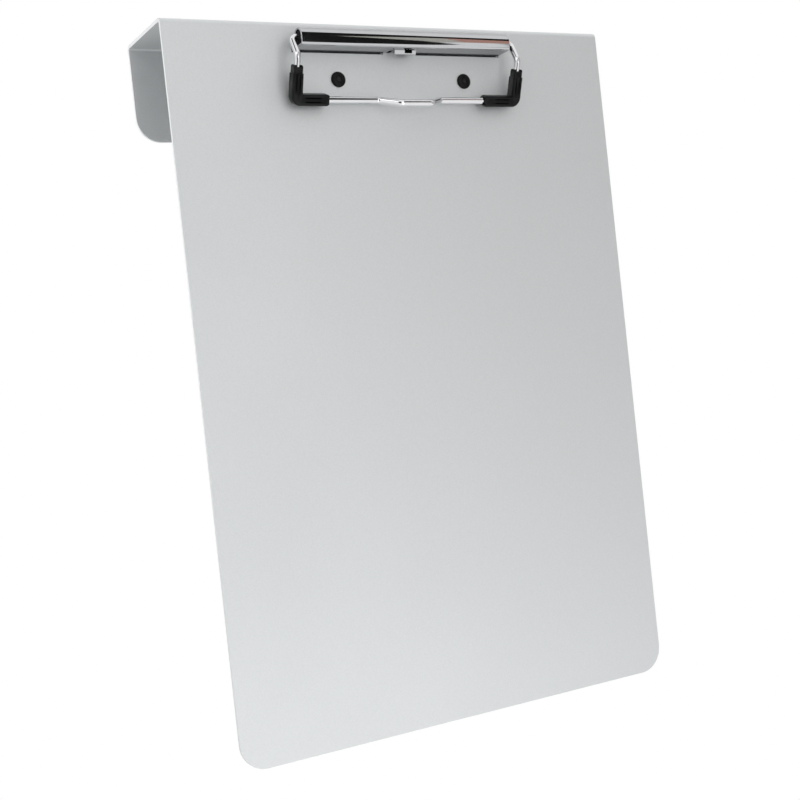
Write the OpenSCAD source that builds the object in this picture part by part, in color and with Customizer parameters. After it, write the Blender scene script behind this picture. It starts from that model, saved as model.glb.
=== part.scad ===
// Hanging clipboard: one folded aluminium sheet that hooks over a rail, with a rolled steel
// clip body in front and a sprung wire bail that swings outwards on the barrel's axis.
// The origin is the middle of the hook's seat, the underside of the top fold.
// +X is right as seen from the front, +Y runs back into the hook, +Z is up.

/* [Board] */
// Width of the board
board_w = 229; // [170:1:320]
// Height from the top of the hook to the bottom edge
board_h = 324; // [220:1:450]
// Thickness of the aluminium sheet
sheet_t = 1.6; // [1:0.1:2.5]
// Depth of the hook, outside to outside
hook_depth = 46.5; // [25:0.5:80]
// Height of the rear lip, from the top of the hook
lip_h = 44; // [24:0.5:90]
// Inside radius of the two folds
fold_r = 1; // [0.5:0.1:2]
// Corner radius at the bottom of the board
board_corner_r = 12; // [4:0.5:30]
// Corner radius at the bottom of the lip
lip_corner_r = 11; // [3:0.5:18]

/* [Clip body] */
// Length of the rolled barrel
barrel_l = 109; // [92:1:140]
// Outside diameter of the barrel
barrel_d = 8.2; // [8:0.1:10]
// Thickness of the steel strip
strip_t = 0.9; // [0.7:0.05:1.1]
// Drop of the barrel's axis below the top of the hook
barrel_drop = 9.05; // [8:0.05:12]
// Distance of the barrel's axis in front of the board
barrel_out = 7; // [6:0.1:9]
// Angle below level at which the rolled strip's free edge ends
seam_angle = 45; // [30:1:48]
// Width of sheet left between the two slots in the board
bridge_w = 17.2; // [12:0.1:24]
// Inside radius of the bends behind the board
ear_bend_r = 0.5; // [0.3:0.05:0.55]
// Strip left below each rivet's centre
ear_margin = 8.5; // [5:0.5:14]
// Corner radius of the ears
ear_corner_r = 3; // [1:0.5:5]

/* [Anchor windows] */
// Middle of the small window, from the middle of the barrel
small_window_x = -6.85; // [-9:0.05:-6]
// Width of the small window
small_window_w = 3.1; // [2:0.1:4]
// Middle of the large window, from the middle of the barrel
large_window_x = 2.35; // [1.5:0.05:6]
// Width of the large window
large_window_w = 3.7; // [2:0.1:5]
// Reach of the large window in front of the spring's leg
large_window_reach = 2.8; // [0.5:0.1:4]
// Strip left between the windows and the board
window_back = 0.8; // [0.5:0.1:1.5]
// Drop of the pressed tab between the windows
tab_drop = 0.7; // [0.3:0.05:0.8]
// Length of the pressed tab, front to back
tab_l = 3.4; // [2:0.1:4]
// Strip left between the tab and each window
tab_side = 0.5; // [0.3:0.1:0.8]

/* [Rivets] */
// Spacing of the two rivets
rivet_spacing = 66.6; // [50:0.2:84]
// Drop of the rivets below the top of the hook
rivet_drop = 25.7; // [22:0.1:34]
// Diameter of the rivet heads
rivet_head_d = 7.1; // [6:0.1:9]
// Height of the rivet heads
rivet_head_h = 1.5; // [0.8:0.1:2]
// Height of the straight rim of the rivet heads
rivet_rim_h = 0.5; // [0.1:0.05:0.7]
// Diameter of the rivet shanks
rivet_shank_d = 4; // [3.2:0.1:4.8]
// Diameter of the set tails behind the ears
rivet_tail_d = 5.8; // [5:0.1:7]
// Length of the set tails
rivet_tail_l = 1.7; // [1:0.1:3]
// Diameter of the mandrels left in the rivets
mandrel_d = 2.1; // [1.6:0.1:2.6]
// Diameter of the mandrel heads
mandrel_head_d = 3.6; // [3:0.1:4.5]
// Height of the mandrel heads
mandrel_head_h = 0.9; // [0.5:0.1:1.5]
// Depth of the broken mandrel below the top of the rivet head
mandrel_recess = 0.35; // [0.1:0.05:0.6]

/* [Bail] */
// Diameter of the wire
wire_d = 3; // [2.5:0.1:3.4]
// Bend radius where the arms leave the barrel, on the wire's centre line
arm_bend_r = 2.8; // [2:0.1:4]
// Drop of the knees below the barrel's axis
knee_drop = 9.15; // [8:0.05:12]
// Drop of the front bar below the barrel's axis
bar_drop = 26.85; // [24:0.05:36]
// Lean of the lower legs towards the board, from upright
leg_lean = 22.5; // [14:0.5:28]
// Bend radius of the knees
knee_bend_r = 4; // [2.5:0.1:6]
// Bend radius of the lower corners
corner_bend_r = 4; // [3:0.1:5]
// Width of the finger lift at the bar
lift_base_w = 32; // [26:0.5:44]
// Width of the finger lift at its top
lift_top_w = 16; // [10:0.5:22]
// Height of the finger lift off the bar
lift_h = 7.1; // [4:0.1:9]
// Bend radius of the finger lift
lift_bend_r = 3; // [2:0.1:4]

/* [Corner sleeves] */
// Width of a sleeve, seen from the front
sleeve_w = 5.2; // [5:0.1:7]
// Thickness of a sleeve, away from the board
sleeve_t = 5.2; // [4.6:0.1:6]
// Diameter to which a sleeve's long edges are rounded
sleeve_edge_d = 6.1; // [5.9:0.1:7.2]
// Length up the leg, from the front bar
sleeve_leg_l = 15.6; // [12:0.1:16]
// Length along the front bar, from the leg
sleeve_foot_l = 15.2; // [12:0.1:24]
// Corner radius at the inner end of the foot
sleeve_end_r = 1.3; // [0.6:0.1:1.8]
// Length of the slimmer collar at the top of the leg
collar_l = 4.2; // [2:0.1:6]
// Step of the collar on each side
collar_step = 0.45; // [0.2:0.05:0.6]
// Depth of the wire notch in each end
notch_l = 1.2; // [0.6:0.1:2]
// Width of a moulded groove
groove_w = 0.5; // [0.3:0.05:0.7]
// Depth of a moulded groove
groove_depth = 0.3; // [0.15:0.05:0.4]
// Spacing of the two grooves
groove_pitch = 1.8; // [1.2:0.1:2.4]
// Length of a groove
groove_l = 7.5; // [5:0.1:8.5]

/* [Pivot bushes] */
// Length of a bush
bush_l = 8; // [5:0.5:14]
// Depth of a bush inside the end of the barrel
bush_recess = 0.4; // [0.1:0.1:2]

/* [Torsion springs] */
// Diameter of the spring wire
spring_wire_d = 0.9; // [0.7:0.05:1]
// Turns in each spring
spring_turns = 10; // [6:1:14]
// Distance from turn to turn
spring_pitch = 1.4; // [1.35:0.05:1.8]
// Bend radius of the tang that enters the arm
tang_bend_r = 0.8; // [0.6:0.05:1]
// Distance of the tang's end past the arm's centre
tang_past = 0.6; // [0.2:0.1:0.9]
// Distance from a spring's leg to the end of the arm beside it
arm_end_gap = 1.6; // [1:0.1:3]

/* [Clearances] */
// Running clearance around the arms in the bushes
running_clear = 0.06; // [0.02:0.01:0.1]
// Clearance around the bushes in the barrel
bush_seat_clear = 0.04; // [0.01:0.01:0.1]
// Clearance between the barrel's ends and the bail's bends
side_clear = 0.3; // [0.2:0.05:0.6]
// Least clearance between the closed sleeves and the board
rest_clear = 0.9; // [0.2:0.05:1.2]
// Clearance around the wire in the sleeves
sleeve_clear = 0.04; // [0.02:0.01:0.1]
// Clearance above the strip in the slots
slot_above = 0.15; // [0.1:0.05:0.4]
// Clearance below the strip in the slots
slot_below = 0.6; // [0.6:0.05:0.9]
// Clearance at the ends of the slots, and in front of the board between them
slot_end = 0.3; // [0.2:0.05:0.8]
// Clearance around the rivet shanks in their holes
rivet_clear = 0.1; // [0.05:0.05:0.3]
// Clearance around the mandrels in the rivets
mandrel_clear = 0.04; // [0.02:0.01:0.1]
// Clearance around the spring tangs in their holes
tang_clear = 0.15; // [0.1:0.05:0.25]
// Clearance in front of the spring's leg in the small window
leg_clear = 0.4; // [0.2:0.05:0.6]

/* [Hidden] */
$fn = 64;
left = -1;
right = 1;
quarter = 90;
half_turn = 180;
full_turn = 360;
// Overshoot of a cutter past the face it leaves
past = 1;
// Loss of a round rod's diameter in its bends, and the lap of its straights into them
bend_thin = 0.02;
bend_lap = 0.05;

// Sheet: front and back face of the board's panel, inner and outer faces of the hook
top_z = sheet_t;
front_y = -hook_depth / 2;
panel_back_y = front_y + sheet_t;
lip_back_y = hook_depth / 2;
panel_h = board_h - sheet_t - fold_r;
lip_flat_h = lip_h - sheet_t - fold_r;
shelf_d = hook_depth - 2 * (sheet_t + fold_r);

// Barrel: its axis is also the bail's hinge axis
axis_y = front_y - barrel_out;
axis_z = top_z - barrel_drop;
bore_r = barrel_d / 2 - strip_t;
tail_z = axis_z - barrel_d / 2;
tail_end_y = front_y - slot_end;
tongue_x = bridge_w / 2 + slot_end;
tongue_w = barrel_l / 2 - tongue_x;
ring_angle = 3 * quarter + seam_angle;
ear_bend_y = panel_back_y - ear_bend_r;
ear_bend_z = tail_z - ear_bend_r;
rivet_z = top_z - rivet_drop;
ear_h = ear_bend_z - rivet_z + ear_margin;
grip_t = sheet_t + strip_t;

// Bail: corner points of the right half, measured from the hinge axis
leg_x = barrel_l / 2 + side_clear + arm_bend_r;
leg_down = [0, sin(leg_lean), -cos(leg_lean)];
lift_out = [0, -cos(leg_lean), -sin(leg_lean)];
bar_y = barrel_out - rest_clear - sleeve_w / 2 * sin(leg_lean) - sleeve_t / 2 * cos(leg_lean);
leg_l = (bar_drop - knee_drop) / cos(leg_lean);
bar_point = [leg_x, bar_y, -bar_drop];
knee_point = bar_point - leg_l * leg_down;
lift_foot = [lift_base_w / 2, bar_y, -bar_drop];
lift_top = [lift_top_w / 2, bar_y, -bar_drop] + lift_h * lift_out;
bail_radii = [arm_bend_r, knee_bend_r, corner_bend_r, lift_bend_r, lift_bend_r];
sleeve_outer_r = corner_bend_r + sleeve_w / 2;

// Springs: each leg stands in a window, each tang in a hole across its arm
coil_r = (wire_d / 2 + bore_r) / 2;
leg_len = axis_z - tail_z - strip_t / 2;
tang_run = spring_turns * spring_pitch;
leg_out = barrel_out - coil_r;
leg_front = leg_out + spring_wire_d / 2;
rings_per_turn = 8;
spring_sides = 6;
tang_rings = 4;

function window_x(side) = side == left ? small_window_x : large_window_x;
function window_w(side) = side == left ? small_window_w : large_window_w;
function window_front(side) = leg_front + (side == left ? leg_clear : large_window_reach);
function arm_end_x(side) = window_x(side) + side * arm_end_gap;
function tang_x(side) = window_x(side) + side * tang_run;
function unit(v) = v / norm(v);
function flip_x(p) = [-p[0], p[1], p[2]];
function backwards(list) = [for (i = [len(list) - 1 : -1 : 0]) list[i]];

// Places what follows with its own X, Y and Z along three square unit vectors
module basis(origin, ex, ey, ez) {
    multmatrix([
        [ex[0], ey[0], ez[0], origin[0]],
        [ex[1], ey[1], ez[1], origin[1]],
        [ex[2], ey[2], ez[2], origin[2]]])
        children();
}

// The part of u that is square to d, as a unit vector
function carried(u, d) = unit(u - d * (u * d));

// Turn about d that carries the square vector u onto the square vector v
function roll_angle(u, v, d) = atan2(cross(u, v) * d, u * v);

// Round wire along corner points, with a bend of its own radius at each inner corner
module bent_wire(points, radii, d) {
    last = len(points) - 1;
    dirs = [for (i = [0 : last - 1]) unit(points[i + 1] - points[i])];
    turns = [for (i = [1 : last - 1]) acos(dirs[i - 1] * dirs[i])];
    trims = [for (i = [0 : last]) i == 0 || i == last ? 0 : radii[i - 1] * tan(turns[i - 1] / 2)];
    runs = [for (i = [0 : last - 1]) norm(points[i + 1] - points[i]) - trims[i] - trims[i + 1]];
    inward = [for (i = [1 : last - 1]) carried(dirs[i], dirs[i - 1])];
    rolls = [for (i = [1 : last - 1]) i == last - 1 ? 0
        : roll_angle(cross(cross(dirs[i - 1], inward[i - 1]), dirs[i]), inward[i], dirs[i])];
    basis(points[0], inward[0], cross(dirs[0], inward[0]), dirs[0])
        wire_run(0, runs, turns, rolls, radii, d);
}

// Straight stretch i up Z, its bend towards X, and on from the bend's end the rest of the wire
module wire_run(i, runs, turns, rolls, radii, d) {
    lap_start = i == 0 ? 0 : bend_lap;
    lap_end = i == len(turns) ? 0 : bend_lap;
    translate([0, 0, -lap_start])
        cylinder(d = d, h = runs[i] + lap_start + lap_end);
    if (i < len(turns))
        translate([radii[i], 0, runs[i]]) {
            basis([0, 0, 0], [-1, 0, 0], [0, 0, 1], [0, 1, 0])
                rotate_extrude(angle = turns[i])
                    translate([radii[i], 0])
                        circle(d = d - bend_thin);
            rotate([0, turns[i], 0])
                translate([-radii[i], 0, 0])
                    rotate(rolls[i])
                        wire_run(i + 1, runs, turns, rolls, radii, d);
        }
}

// Quarter of a bent strip, its axis along X; turned from the quarter between down and back
module strip_bend(turn, r, t, l) {
    rotate([turn, 0, 0])
        rotate([0, quarter, 0])
            translate([0, 0, -l / 2])
                rotate_extrude(angle = quarter)
                    translate([r, 0])
                        square([t, l]);
}

// Outline that hangs from its top edge, with two rounded lower corners
module hanging_outline(w, h, r) {
    translate([-w / 2, r - h])
        square([w, h - r]);
    translate([r - w / 2, -h])
        square([w - 2 * r, h]);
    for (side = [left, right])
        translate([side * (w / 2 - r), r - h])
            circle(r);
}

// Upright plate of that outline, its back face at y
module hanging_plate(w, h, r, t, y, z) {
    translate([0, y, z])
        rotate([quarter, 0, 0])
            linear_extrude(t)
                hanging_outline(w, h, r);
}

// Holes for both rivets, right through the sheet and the strip
module rivet_holes() {
    for (side = [left, right])
        translate([side * rivet_spacing / 2, front_y - past, rivet_z])
            rotate([-quarter, 0, 0])
                cylinder(d = rivet_shank_d + 2 * rivet_clear, h = grip_t + 2 * past);
}

// One sheet: panel, front fold, seat, rear fold and lip, with two slots for the clip body
module board() {
    slot_w = barrel_l / 2 + slot_end - bridge_w / 2;
    slot_h = strip_t + slot_above + slot_below;
    color([0.77, 0.77, 0.78])
    difference() {
        union() {
            hanging_plate(board_w, panel_h, board_corner_r, sheet_t, panel_back_y, -fold_r);
            hanging_plate(board_w, lip_flat_h, lip_corner_r, sheet_t, lip_back_y, -fold_r);
            translate([-board_w / 2, -shelf_d / 2, 0])
                cube([board_w, shelf_d, sheet_t]);
            translate([0, -shelf_d / 2, -fold_r])
                strip_bend(half_turn, fold_r, sheet_t, board_w);
            translate([0, shelf_d / 2, -fold_r])
                strip_bend(quarter, fold_r, sheet_t, board_w);
        }
        for (side = [left, right])
            translate([side * (bridge_w + slot_w) / 2, front_y, tail_z - slot_below])
                translate([-slot_w / 2, -past, 0])
                    cube([slot_w, sheet_t + 2 * past, slot_h]);
        rivet_holes();
    }
}

// Window through the strip under the barrel, for the leg of one spring
module anchor_window(side) {
    x = window_x(side) - window_w(side) / 2;
    depth = window_front(side) - window_back;
    translate([x, front_y - window_front(side), tail_z - past])
        cube([window_w(side), depth, axis_z - tail_z + past]);
}

// Tongue through one slot, bent down behind the board into a riveted ear
module ear(side) {
    mid_x = side * (tongue_x + tongue_w / 2);
    translate([mid_x - tongue_w / 2, tail_end_y, tail_z])
        cube([tongue_w, ear_bend_y - tail_end_y, strip_t]);
    translate([mid_x, ear_bend_y, ear_bend_z])
        strip_bend(quarter, ear_bend_r, strip_t, tongue_w);
    translate([mid_x, 0, 0])
        hanging_plate(tongue_w, ear_h, ear_corner_r, strip_t, panel_back_y + strip_t, ear_bend_z);
}

// Steel strip rolled into an open barrel, with a flat tail that ends in two ears
module clip_body() {
    tab_x = small_window_x + small_window_w / 2 + tab_side;
    tab_w = large_window_x - large_window_w / 2 - tab_side - tab_x;
    color([0.72, 0.72, 0.74])
    difference() {
        union() {
            translate([-barrel_l / 2, axis_y, axis_z])
                mirror([0, 1, 0])
                    rotate([0, quarter, 0])
                        rotate_extrude(angle = ring_angle)
                            translate([bore_r, 0])
                                square([strip_t, barrel_l]);
            translate([-barrel_l / 2, axis_y, tail_z])
                cube([barrel_l, tail_end_y - axis_y, strip_t]);
            translate([tab_x, tail_end_y - window_back - tab_l, tail_z - tab_drop])
                cube([tab_w, tab_l, strip_t]);
            for (side = [left, right])
                ear(side);
        }
        for (side = [left, right])
            anchor_window(side);
        rivet_holes();
    }
}

// One round wire: two arms in the barrel, legs, front bar and finger lift
module bail_wire() {
    half = [knee_point, bar_point, lift_foot, lift_top];
    left_half = [for (p = concat([[-arm_end_x(left), 0, 0], [leg_x, 0, 0]], half)) flip_x(p)];
    right_half = concat([[arm_end_x(right), 0, 0], [leg_x, 0, 0]], half);
    color([0.75, 0.75, 0.77])
    translate([0, axis_y, axis_z])
    difference() {
        bent_wire(concat(right_half, backwards(left_half)),
            concat(bail_radii, backwards(bail_radii)), wire_d);
        for (side = [left, right])
            translate([tang_x(side), -wire_d, 0])
                rotate([-quarter, 0, 0])
                    cylinder(d = spring_wire_d + 2 * tang_clear, h = 2 * wire_d);
    }
}

// What a rounded corner takes off a square one, with its tip at the origin
module corner_cut(r) {
    difference() {
        translate([-past, -past])
            square(r + past);
        translate([r, r])
            circle(r);
    }
}

// Outline of a sleeve: a foot along X and a leg along Y from the bail's lower corner
module sleeve_outline() {
    edge = sleeve_w / 2;
    collar_w = sleeve_w - 2 * collar_step;
    difference() {
        union() {
            translate([-edge, -edge])
                square([sleeve_foot_l + edge, sleeve_w]);
            translate([-edge, -edge])
                square([sleeve_w, sleeve_leg_l - collar_l + edge]);
            translate([-collar_w / 2, 0])
                square([collar_w, sleeve_leg_l]);
        }
        translate([-edge, -edge])
            corner_cut(sleeve_outer_r);
        translate([sleeve_foot_l, edge])
            rotate(half_turn)
                corner_cut(sleeve_end_r);
        translate([sleeve_foot_l, -edge])
            rotate(quarter)
                corner_cut(sleeve_end_r);
    }
}

// Two grooves on the front face of a sleeve, along X from the place where they start
module grooves(start) {
    for (side = [left, right])
        translate([start, side * groove_pitch / 2 - groove_w / 2, -sleeve_t / 2 - past])
            cube([groove_l, groove_w, past + groove_depth]);
}

// Moulded sleeve over one lower corner of the bail, drawn for the right side
module corner_sleeve(side) {
    path = [[sleeve_foot_l + past, 0, 0], [0, 0, 0], [0, sleeve_leg_l + past, 0]];
    groove_start = sleeve_outer_r - sleeve_w / 2;
    notch_w = wire_d + 2 * sleeve_clear;
    color([0.09, 0.09, 0.1])
    mirror([side == left ? 1 : 0, 0, 0])
    translate([0, axis_y, axis_z])
    basis(bar_point, [-1, 0, 0], -leg_down, -lift_out)
    difference() {
        intersection() {
            translate([0, 0, -sleeve_t / 2])
                linear_extrude(sleeve_t)
                    sleeve_outline();
            bent_wire(path, [corner_bend_r], sleeve_edge_d);
        }
        bent_wire(path, [corner_bend_r], notch_w);
        translate([sleeve_foot_l - notch_l, -notch_w / 2, -sleeve_t])
            cube([notch_l + past, notch_w, sleeve_t]);
        translate([-notch_w / 2, sleeve_leg_l - notch_l, -sleeve_t])
            cube([notch_w, notch_l + past, sleeve_t]);
        grooves(groove_start);
        rotate(quarter)
            mirror([0, 1, 0])
                grooves(groove_start);
    }
}

// Plain bush that centres one arm in the end of the barrel
module pivot_bush(side) {
    inner_x = barrel_l / 2 - bush_recess - bush_l;
    color([0.12, 0.12, 0.12])
    mirror([side == left ? 1 : 0, 0, 0])
    translate([inner_x, axis_y, axis_z])
        rotate([0, quarter, 0])
            difference() {
                cylinder(r = bore_r - bush_seat_clear, h = bush_l);
                translate([0, 0, -past])
                    cylinder(d = wire_d + 2 * running_clear, h = bush_l + 2 * past);
            }
}

// Centre line of a spring about the axis X: leg in the window, coil, then a tang to the axis
function coil_point(a) = [spring_pitch * a / full_turn, coil_r * cos(a), coil_r * sin(a)];
function blend(a, b, c, t) = (1 - t) * (1 - t) * a + 2 * t * (1 - t) * b + t * t * c;
function spring_line() =
    let (end_a = spring_turns * full_turn,
        bend_a = end_a - tang_bend_r / coil_r * half_turn / PI,
        steps = spring_turns * rings_per_turn,
        tang_top = [tang_run, coil_r - tang_bend_r, 0])
    concat(
        [[0, coil_r, -leg_len], [0, coil_r, -leg_len / 2]],
        [for (i = [0 : steps - 1]) coil_point(bend_a * i / (steps - 1))],
        [for (i = [1 : tang_rings])
            blend(coil_point(bend_a), coil_point(end_a), tang_top, i / tang_rings)],
        [[tang_run, -tang_past, 0]]);

// Direction of a line of points at point i, and a side vector carried along without twist
function line_dir(p, i) = unit(p[min(i + 1, len(p) - 1)] - p[max(i - 1, 0)]);
function side_vectors(p) =
    [for (i = 0, u = carried([1, 0, 0], line_dir(p, 0)); i < len(p);
        i = i + 1, u = carried(u, line_dir(p, min(i, len(p) - 1)))) u];

// One unbroken tube along a line of points, with flat ends and triangular faces
module tube_along(p, r, sides) {
    u = side_vectors(p);
    last = len(p) - 1;
    ring = [for (i = [0 : last]) let (v = cross(line_dir(p, i), u[i]))
        for (k = [0 : sides - 1])
            p[i] + r * (cos(full_turn * k / sides) * u[i] + sin(full_turn * k / sides) * v)];
    walls = [for (i = [0 : last - 1]) for (k = [0 : sides - 1])
        let (a = i * sides + k, b = i * sides + (k + 1) % sides)
        each [[a, a + sides, b], [b, a + sides, b + sides]]];
    caps = [for (k = [1 : sides - 2])
        each [[0, k, k + 1], [last * sides, last * sides + k + 1, last * sides + k]]];
    polyhedron(ring, concat(walls, caps));
}

// Coil spring round one arm: its leg in a window and its tang in the arm
module torsion_spring(side) {
    color([0.62, 0.62, 0.64])
    translate([window_x(side), axis_y, axis_z])
        mirror([side == left ? 1 : 0, 0, 0])
            tube_along(spring_line(), spring_wire_d / 2, spring_sides);
}

// Least gap of the spring to itself, between points more than half a turn apart
function least_gap(p) = min([for (i = [0 : len(p) - 1])
    for (j = [i + rings_per_turn / 2 + 1 : 1 : len(p) - 1]) norm(p[i] - p[j])]) - spring_wire_d;

// Hollow rivet from the front: domed head, shank through sheet and strip, set tail
module rivet(side) {
    dome_h = rivet_head_h - rivet_rim_h;
    head_r = rivet_head_d / 2;
    dome_r = (head_r * head_r + dome_h * dome_h) / (2 * dome_h);
    hole_r = mandrel_d / 2 + mandrel_clear;
    color([0.1, 0.1, 0.11])
    translate([side * rivet_spacing / 2, front_y, rivet_z])
        rotate([quarter, 0, 0])
            rotate_extrude() {
                intersection() {
                    translate([0, rivet_head_h - dome_r])
                        circle(dome_r);
                    translate([hole_r, 0])
                        square([head_r - hole_r, rivet_head_h + past]);
                }
                translate([hole_r, -grip_t])
                    square([rivet_shank_d / 2 - hole_r, grip_t]);
                translate([hole_r, -grip_t - rivet_tail_l])
                    square([rivet_tail_d / 2 - hole_r, rivet_tail_l]);
            }
}

// Broken-off mandrel that stays in a set rivet, its head behind the tail
module rivet_mandrel(side) {
    shaft_l = rivet_head_h - mandrel_recess + grip_t + rivet_tail_l;
    color([0.45, 0.45, 0.46])
    translate([side * rivet_spacing / 2, front_y + grip_t + rivet_tail_l, rivet_z])
        rotate([quarter, 0, 0]) {
            cylinder(d = mandrel_d, h = shaft_l);
            translate([0, 0, -mandrel_head_h])
                cylinder(d = mandrel_head_d, h = mandrel_head_h);
        }
}

echo(spring_least_gap = least_gap(spring_line()));

board();
clip_body();
bail_wire();
corner_sleeve(left);  // left_corner_sleeve
corner_sleeve(right);  // right_corner_sleeve
pivot_bush(left);  // left_pivot_bush
pivot_bush(right);  // right_pivot_bush
torsion_spring(left);  // left_torsion_spring
torsion_spring(right);  // right_torsion_spring
rivet(left);  // left_rivet
rivet(right);  // right_rivet
rivet_mandrel(left);  // left_rivet_mandrel
rivet_mandrel(right);  // right_rivet_mandrel
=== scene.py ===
# %% [markdown]
# # A hanging clipboard
# The part arrives from CAD as thirteen solids in one frame: metres, origin under the middle of the top
# fold, +X to the right, +Y to the back, +Z up. Sheet, strip, wire and mouldings are modelled again here,
# because their looks live in small bends and soft edges. The bushes and the broken rivet pins keep their
# CAD shape.

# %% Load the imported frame
from math import ceil, cos, degrees, pi, radians, sin, tan

import bmesh
import bpy
from mathutils import Matrix, Vector


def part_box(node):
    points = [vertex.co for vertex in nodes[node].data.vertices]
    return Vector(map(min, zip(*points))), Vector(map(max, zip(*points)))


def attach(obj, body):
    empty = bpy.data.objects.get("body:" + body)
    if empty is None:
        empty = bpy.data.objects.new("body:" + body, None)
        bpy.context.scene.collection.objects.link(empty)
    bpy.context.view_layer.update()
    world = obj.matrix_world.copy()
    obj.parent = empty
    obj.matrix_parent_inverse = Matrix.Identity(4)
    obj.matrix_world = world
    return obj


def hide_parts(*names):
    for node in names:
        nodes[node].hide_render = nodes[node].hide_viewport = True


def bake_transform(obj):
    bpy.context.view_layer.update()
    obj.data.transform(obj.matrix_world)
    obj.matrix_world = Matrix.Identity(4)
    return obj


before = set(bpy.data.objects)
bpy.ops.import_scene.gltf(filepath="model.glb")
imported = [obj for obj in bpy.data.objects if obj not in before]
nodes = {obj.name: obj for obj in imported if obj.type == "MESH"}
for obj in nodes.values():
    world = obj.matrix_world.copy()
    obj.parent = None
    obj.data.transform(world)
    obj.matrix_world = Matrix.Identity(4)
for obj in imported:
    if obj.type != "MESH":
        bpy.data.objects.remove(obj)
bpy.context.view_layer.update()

# %% [markdown]
# Blender works in metres and a workshop in millimetres, so one function turns drawing sizes into vectors.
# Most operators act on all that is selected, so each piece begins from an empty selection, and what an
# operator is to change is picked by its place.

# %% Millimetres and selection
MM = 0.001
NEAR = 0.1  # mm, within which something lies at the place that it is picked by


def mm(x, y, z):
    """A point or step in millimetres, as a vector in metres."""
    return Vector((x, y, z)) * MM


def take(*pieces):
    """Leaves edit mode and selects only these pieces; the first one becomes the active one."""
    if bpy.context.mode != "OBJECT":
        bpy.ops.object.mode_set(mode="OBJECT")
    bpy.ops.object.select_all(action="DESELECT")
    for piece in pieces:
        piece.select_set(True)
    bpy.context.view_layer.objects.active = pieces[0] if pieces else None


def begin(name, size):
    """Names the unit primitive just added, sizes it in millimetres and moves its place into its mesh."""
    piece = bpy.context.object
    piece.name = piece.data.name = name
    piece.scale = mm(*size)
    bpy.ops.object.transform_apply(location=True, rotation=True, scale=True)
    return piece


def pick(kind, test):
    """In edit mode, selects the vertices, edges or faces whose middle in millimetres passes the test."""
    bpy.ops.mesh.select_all(action="DESELECT")
    bpy.ops.mesh.select_mode(type=kind)
    mesh = bmesh.from_edit_mesh(bpy.context.object.data)
    for part in {"VERT": mesh.verts, "EDGE": mesh.edges, "FACE": mesh.faces}[kind]:
        corners = [part] if kind == "VERT" else part.verts
        if test(sum((corner.co for corner in corners), Vector()) / len(corners) / MM):
            part.select_set(True)
    mesh.select_flush_mode()
    bmesh.update_edit_mesh(bpy.context.object.data)


take()
print("selected after take():", len(bpy.context.selected_objects))

# %% [markdown]
# ## Bending
# Sheet and wire are shaped as a workshop shapes them: a straight length is an extrusion, a bend is a spin
# about the bend's axis. The spin operator counts its angle against the right-hand rule, so the helper
# turns the sign.

# %% Straight lengths and bends
def push(x, y, z):
    """Extrudes the selection by a step in millimetres."""
    bpy.ops.mesh.extrude_region_move(TRANSFORM_OT_translate={"value": mm(x, y, z)})


def bend(centre, axis, angle, steps):
    """Carries the selection round an axis through a centre in millimetres, by the right-hand rule."""
    bpy.ops.mesh.spin(steps=steps, angle=-angle, center=mm(*centre), axis=axis)


print("bending helpers:", push.__name__, bend.__name__)

# %% [markdown]
# ## Board
# One aluminium sheet, 1.6 mm thick, folded twice at the top into a hook, with rounded free corners. It
# could be three boxes joined at their edges, but a flat plane that is folded by spins gets both folds at
# their true radius, and its free corners can be rounded while it is still thin.

# %% Board: panel, folds and lip
low, high = [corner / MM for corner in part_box("board")]
FOLD_R, FOLD_STEPS = 2.6, 10
LIP_BOTTOM = -42.4
fold_z = high.z - FOLD_R

take()
bpy.ops.mesh.primitive_plane_add(size=1, location=mm(0, low.y, (low.z + fold_z) / 2),
                                 rotation=(pi / 2, 0, 0))
board = begin("folded_board", (high.x - low.x, fold_z - low.z, 1))
bpy.ops.object.mode_set(mode="EDIT")
pick("EDGE", lambda p: p.z > fold_z - NEAR)
bend((0, low.y + FOLD_R, fold_z), (1, 0, 0), -pi / 2, FOLD_STEPS)
push(0, high.y - low.y - 2 * FOLD_R, 0)
bend((0, high.y - FOLD_R, fold_z), (1, 0, 0), -pi / 2, FOLD_STEPS)
push(0, 0, LIP_BOTTOM - fold_z)
print("panel", high.x - low.x, "x", high.z - low.z, "mm, hook depth", high.y - low.y)

# %% [markdown]
# Spins and rounded corners can leave doubled points, so the sheet is welded before it grows thick.
# Solidify then gives it its wall, on the inner side, so that the outer faces stay where the drawing has
# them.

# %% Weld and wall
WELD = 0.01  # mm, within which two points become one


def face_out():
    """In edit mode, turns every face of the piece outwards."""
    bpy.ops.mesh.select_all(action="SELECT")
    bpy.ops.mesh.normals_make_consistent(inside=False)


def weld():
    """In edit mode, merges doubled points and turns every face outwards."""
    bpy.ops.mesh.select_all(action="SELECT")
    bpy.ops.mesh.remove_doubles(threshold=WELD * MM)
    face_out()


def finish_modifiers(piece):
    """Applies every modifier of a piece in order."""
    take(piece)
    for modifier in list(piece.modifiers):
        bpy.ops.object.modifier_apply(modifier=modifier.name)


def thicken(piece, thickness, side):
    """Gives a bent sheet its wall: side 1 grows it along its normals, side -1 against them."""
    wall = piece.modifiers.new("wall", "SOLIDIFY")
    wall.thickness = thickness * MM
    wall.offset = side
    wall.use_even_offset = True
    finish_modifiers(piece)


print("points weld within", WELD, "mm")

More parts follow.
